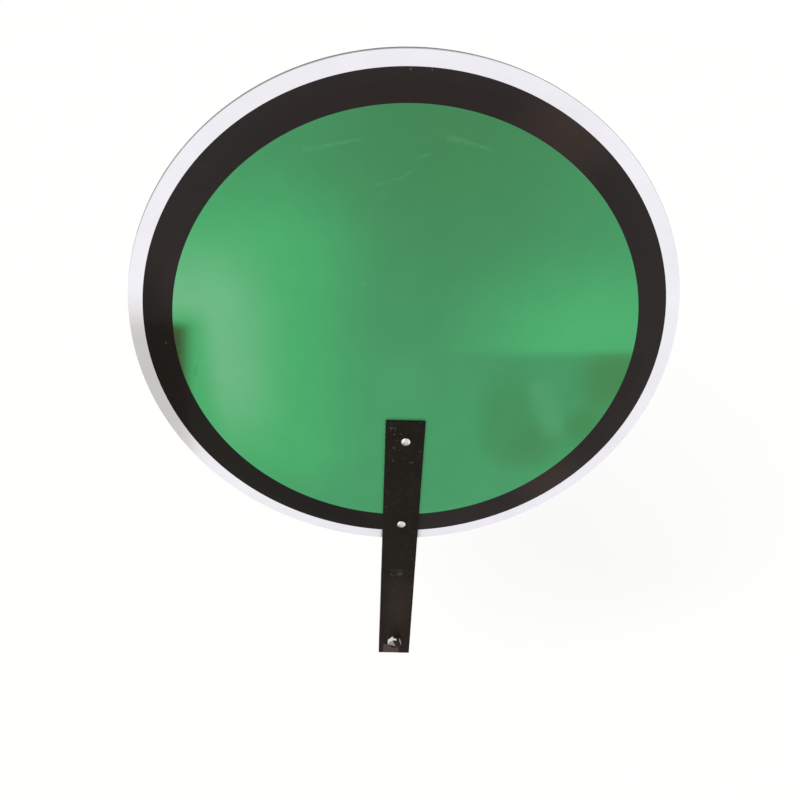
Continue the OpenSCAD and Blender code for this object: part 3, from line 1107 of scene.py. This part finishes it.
def room_before_sign(m):
    """What the face mirrors: a dim room, bright in an opening on the left, lit on the right."""
    colour = m.mix(m.step(m.z, 240, 40), ROOM, ROOM_LOW)
    colour = m.mix(m.oval((45, 470), (230, 260), 0.9), colour, CEILING)
    glow = m.mul(m.step(m.x, -5, -135), m.mul(m.step(m.z, 430, 300), m.step(m.z, -90, 40)))
    colour = m.mix(glow, colour, LEFT_GLOW)
    wall = m.oval((245, 190), (225, 175), 0.85)
    # a nearly level edge, with lit wall above it and brown patches and a pale streak below
    edge = m.sub(m.z, m.add(m.mul(m.x, 0.031), 179.0))
    colour = m.mix(m.mul(wall, m.step(edge, -8, 8)), colour, RIGHT_WALL)
    low = m.most(m.oval((178, 45), (78, 66), 0.8), m.oval((252, 74), (45, 50), 0.8))
    colour = m.mix(low, colour, LOW_RIGHT)
    colour = m.mix(m.oval((145, 95), (52, 100), 0.8), colour, LOW_MIDDLE)
    far = m.mul(m.oval((280, 150), (72, 76), 0.8), m.step(edge, 6, -6))
    colour = m.mix(far, colour, FAR_RIGHT)
    colour = m.mix(m.oval((6, 131), (60, 75), 0.9), colour, PALE_PATCH)
    streak = m.stroke((179, 156), (221, 42), 28, 0.7)
    colour = m.mix(m.mul(streak, 0.75), colour, PALE_STREAK)
    opening = m.mul(m.step(m.x, -118, -212), m.step(m.z, 355, 238))
    opening = m.mul(opening, m.step(m.z, -10, 150))
    beside_post = m.mul(m.step(m.x, -212, -244), m.step(m.z, 240, 208))
    opening = m.mul(opening, m.inverse(beside_post))
    colour = m.mix(opening, colour, OPENING)
    post = m.add(m.x, m.mul(m.sub(200.0, m.z), 0.14))
    post = m.mul(m.step(post, -236, -260), m.step(m.z, 217, 203))
    return m.mix(m.mul(post, m.step(m.z, 60, 110)), colour, DARK_POST)


def dark_post(m):
    """The rest of the dark upright that the room's left side begins."""
    return m.mix(m.step(m.x, -264, -272), DARK_POST, POST_SIDE)


def room_below_sign(m):
    """What the bar mirrors: a dim floor with one lighter stripe."""
    stripe = m.mul(m.step(m.x, -2, 20), m.step(m.x, 48, 22))
    return m.mix(m.mul(stripe, m.step(m.z, -210, -290)), LOW_DIM, LOW_STRIPE)


def build_sun(name, towards, strength, angle, colour):
    data = bpy.data.lights.new(name, "SUN")
    data.energy = strength
    data.angle = math.radians(angle)
    data.color = colour
    lamp = bpy.data.objects.new(name, data)
    bpy.context.scene.collection.objects.link(lamp)
    lamp.rotation_euler = Vector(towards).to_track_quat("Z", "Y").to_euler()


def build_camera():
    """The camera at the photograph's angle."""
    data = bpy.data.cameras.new("camera")
    data.sensor_width = 36.0
    data.lens = LENS
    data.shift_x = SHIFT_X
    data.clip_start, data.clip_end = 0.01, 50.0
    cam = bpy.data.objects.new("camera", data)
    bpy.context.scene.collection.objects.link(cam)
    az, el = CAMERA_AZ, CAMERA_EL
    back = Vector((math.sin(az) * math.cos(el), -math.cos(az) * math.cos(el), math.sin(el)))
    centre = Vector((0, FILM_FRONT * MM, DISC_Z * MM))
    right = (-back).cross(Vector((0, 0, 1))).normalized()
    up = right.cross(-back)
    turned = Matrix((right, up, back)).transposed()
    for axis, degrees in CAMERA_TURNS:
        turned = turned @ Matrix.Rotation(math.radians(degrees), 3, axis)
    cam.matrix_world = Matrix.Translation(centre + back * CAMERA_OFF) @ turned.to_4x4()
    bpy.context.scene.camera = cam


# The sign. Rubbed marks on the green field: start, end, width and weight
FACE_SCUFFS = [
    ((-74.0, 486.2), (-58.0, 489.2), 3.2, 0.5),
    ((-64.0, 488.0), (-33.0, 495.0), 1.8, 0.75),
    ((14.5, 498.0), (32.0, 495.2), 3.4, 0.8),
    ((26.0, 496.2), (47.0, 491.2), 1.9, 0.85),
    ((-29.5, 465.6), (-8.5, 473.0), 1.6, 0.5),
    ((-12.0, 470.8), (-2.0, 478.2), 1.4, 0.7),
    ((-3.5, 483.2), (9.0, 488.6), 2.2, 0.6),
    ((-27.0, 458.6), (-18.0, 460.6), 4.0, 0.3),
]
# Chips in the bar's paint: place, radius and weight
STRAP_CHIPS = [
    ((-11.3, 274.1), 1.1, 0.5),
    ((-8.3, 274.5), 0.8, 0.6),
    ((-8.7, 268.1), 0.9, 0.5),
    ((-3.4, 268.5), 0.7, 0.6),
    ((0.9, 269.3), 0.5, 0.4),
    ((-8.5, 254.1), 0.8, 0.4),
    ((-4.1, 251.7), 0.6, 0.4),
    ((-9.1, 240.8), 1.0, 0.5),
    ((13.1, 250.8), 0.9, 0.5),
    ((-12.8, 188.2), 0.7, 0.6),
    ((2.9, 201.9), 0.5, 0.4),
    ((-11.4, 272.9), 0.7, 0.4),
    ((-8.1, 272.4), 0.7, 0.4),
    ((-6.6, 262.0), 0.6, 0.35),
    ((-4.0, 98.9), 0.8, 0.7),
    ((-2.4, 107.6), 0.8, 0.6),
    ((-3.6, 106.0), 0.6, 0.45),
    ((-5.1, 103.9), 0.7, 0.4),
    ((-6.2, 107.6), 0.6, 0.35),
]
# Scratches in it: start, end, width and weight
STRAP_STROKES = [
    ((4.5, 239.0), (8.4, 238.9), 0.7, 1.0),
    ((-10.6, 254.7), (-6.0, 253.7), 0.7, 0.6),
    ((-14.6, 275.0), (-6.9, 274.3), 0.6, 0.5),
    ((-6.3, 102.6), (-6.0, 99.9), 0.8, 0.9),
]


def build_sign():
    plate, white, black, green = build_face()
    finish_piece(plate, ["sign_plate"], aluminium_sheet())
    film = film_material("white_sheeting", WHITE_FILM, 0.3, 0.17, 0.012, border_shade)
    finish_piece(white, ["white_border"], film)
    film = film_material("black_sheeting", BLACK_FILM, 0.0, 0.28, 0.05, ring_shade, (), 0.12, 0.15)
    finish_piece(black, ["black_ring"], film)
    film = film_material("green_sheeting", GREEN_FILM, 0.8, 0.07, 0.03, field_shade, FACE_SCUFFS)
    finish_piece(green, ["green_field"], film)
    strap = build_strap()
    finish_piece(strap, ["mounting_strap"], strap_paint(STRAP_CHIPS, STRAP_STROKES))
    steel = pin_steel()
    for which, z in RIVETS.items():
        body = blind_rivet(f"rivet_{which}_set", z, 1.7 + z / 100)
        metal = rivet_aluminium(f"rivet_aluminium_{which}", z)
        finish_piece(body, [f"rivet_{which}"], metal)
        pin = rivet_pin(f"rivet_pin_{which}_broken", z, 3.3 + z / 100)
        finish_piece(pin, [f"rivet_pin_{which}"], steel)
    finish_piece(strap_stud(), ["strap_rivet"], stud_paint())
    finish_piece(build_bolt(), ["post_bolt"], bolt_zinc("bolt_zinc", True))
    finish_piece(build_nut(), ["post_nut"], bolt_zinc("nut_zinc", False))


build_sign()
build_world()
build_floor()
build_card("room_card", ROOM_BOX, CARD_Y, room_before_sign, 96)
build_card("post_card", POST_BOX, CARD_Y + 2, dark_post)
build_card("low_card", LOW_BOX, CARD_Y, room_below_sign)
build_sun("key", SUN_TOWARDS, SUN_STRENGTH, SUN_ANGLE, SUN_COLOUR)
build_camera()

scene = bpy.context.scene
scene.view_settings.view_transform = "Standard"
